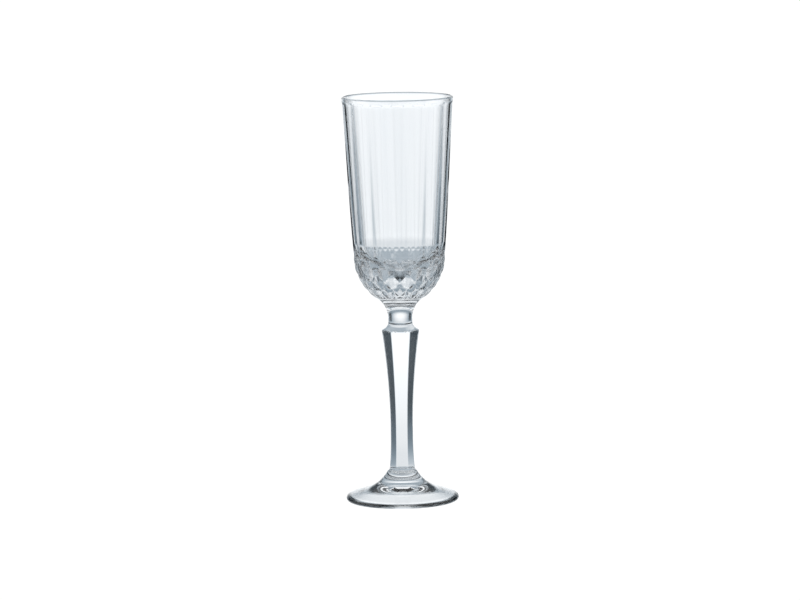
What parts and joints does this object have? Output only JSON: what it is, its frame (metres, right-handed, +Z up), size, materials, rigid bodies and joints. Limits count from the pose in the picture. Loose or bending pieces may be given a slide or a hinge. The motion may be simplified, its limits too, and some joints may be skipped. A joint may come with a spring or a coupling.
{
  "type": "champagne flute",
  "caption": "Tall stemmed drinking glass with a tapering sixteen-fluted bowl, a diamond-cut belly, a short round neck, a six-sided stem and a domed round foot.",
  "frame": {"origin": "middle of the resting plane under the foot", "axes": "+Z up the stem towards the rim, -Y towards the front, the middle of one flute of the bowl and of one flat side of the stem"},
  "size_m": [0.0592, 0.0592, 0.213],
  "materials": {
    "clear_glass": "polished clear glass"
  },
  "bodies": {
    "root": {"bowl": "clear_glass", "neck": "clear_glass", "stem": "clear_glass", "foot": "clear_glass"}
  },
  "joints": []
}
